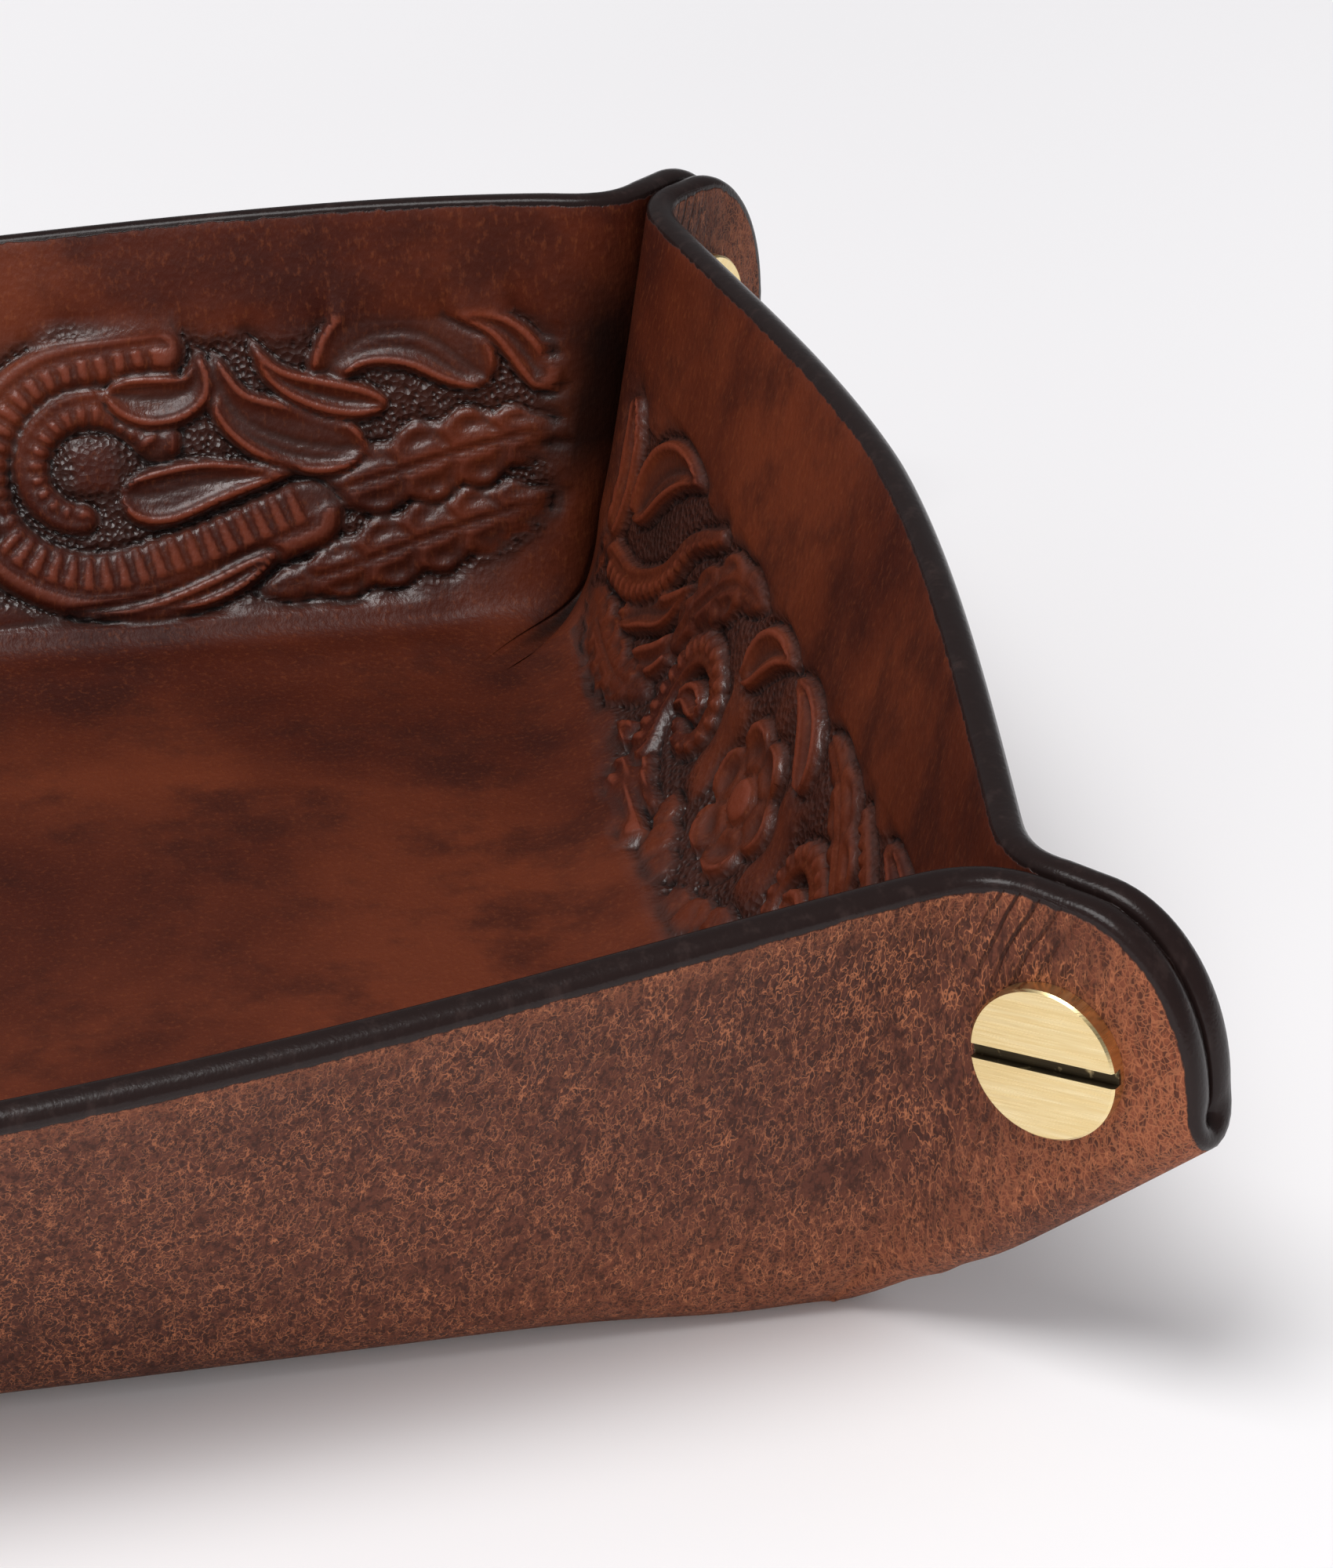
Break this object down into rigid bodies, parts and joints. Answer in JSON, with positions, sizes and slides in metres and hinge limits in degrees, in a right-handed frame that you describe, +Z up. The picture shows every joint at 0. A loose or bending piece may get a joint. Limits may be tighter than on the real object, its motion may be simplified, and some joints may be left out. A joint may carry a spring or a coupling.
{
  "type": "valet tray",
  "caption": "Folded leather valet tray with tooled floral walls; each corner is pinched into an ear held by a brass binding post and slotted screw.",
  "frame": {"origin": "middle of the tray's underside, on the table", "axes": "+X along the tray's length, +Y across it to the back wall, +Z up"},
  "size_m": [0.1956, 0.1378, 0.0358],
  "materials": {
    "leather": "satin",
    "brass": "brushed"
  },
  "bodies": {
    "leather_tray": {"leather_tray": "leather"},
    "front_right_binding_post": {"front_right_binding_post": "brass"},
    "front_right_slotted_screw": {"front_right_slotted_screw": "brass"},
    "front_left_binding_post": {"front_left_binding_post": "brass"},
    "front_left_slotted_screw": {"front_left_slotted_screw": "brass"},
    "back_right_binding_post": {"back_right_binding_post": "brass"},
    "back_right_slotted_screw": {"back_right_slotted_screw": "brass"},
    "back_left_binding_post": {"back_left_binding_post": "brass"},
    "back_left_slotted_screw": {"back_left_slotted_screw": "brass"}
  },
  "joints": [
    {"name": "front_right_post_turn", "type": "hinge", "parent": "leather_tray", "child": "front_right_binding_post", "pos_m": [0.08919, -0.05919, 0.0234], "axis": [0.7071, 0.7071, 0], "range_deg": [0, 1800]},
    {"name": "front_right_screw_travel", "type": "slide", "parent": "leather_tray", "child": "front_right_slotted_screw", "axis": [-0.7071, -0.7071, 0], "range_m": [0, 0.0035]},
    {"name": "front_left_post_turn", "type": "hinge", "parent": "leather_tray", "child": "front_left_binding_post", "pos_m": [-0.08919, -0.05919, 0.0234], "axis": [-0.7071, 0.7071, 0], "range_deg": [0, 1800]},
    {"name": "front_left_screw_travel", "type": "slide", "parent": "leather_tray", "child": "front_left_slotted_screw", "axis": [0.7071, -0.7071, 0], "range_m": [0, 0.0035]},
    {"name": "back_right_post_turn", "type": "hinge", "parent": "leather_tray", "child": "back_right_binding_post", "pos_m": [0.08919, 0.05919, 0.0234], "axis": [0.7071, -0.7071, 0], "range_deg": [0, 1800]},
    {"name": "back_right_screw_travel", "type": "slide", "parent": "leather_tray", "child": "back_right_slotted_screw", "axis": [-0.7071, 0.7071, 0], "range_m": [0, 0.0035]},
    {"name": "back_left_post_turn", "type": "hinge", "parent": "leather_tray", "child": "back_left_binding_post", "pos_m": [-0.08919, 0.05919, 0.0234], "axis": [-0.7071, -0.7071, 0], "range_deg": [0, 1800]},
    {"name": "back_left_screw_travel", "type": "slide", "parent": "leather_tray", "child": "back_left_slotted_screw", "axis": [0.7071, 0.7071, 0], "range_m": [0, 0.0035]}
  ],
  "couplings": [
    {"joint": "front_right_post_turn", "follows": "front_right_screw_travel", "rad_per_m": 8975.9},
    {"joint": "front_left_post_turn", "follows": "front_left_screw_travel", "rad_per_m": 8975.9},
    {"joint": "back_right_post_turn", "follows": "back_right_screw_travel", "rad_per_m": 8975.9},
    {"joint": "back_left_post_turn", "follows": "back_left_screw_travel", "rad_per_m": 8975.9}
  ]
}
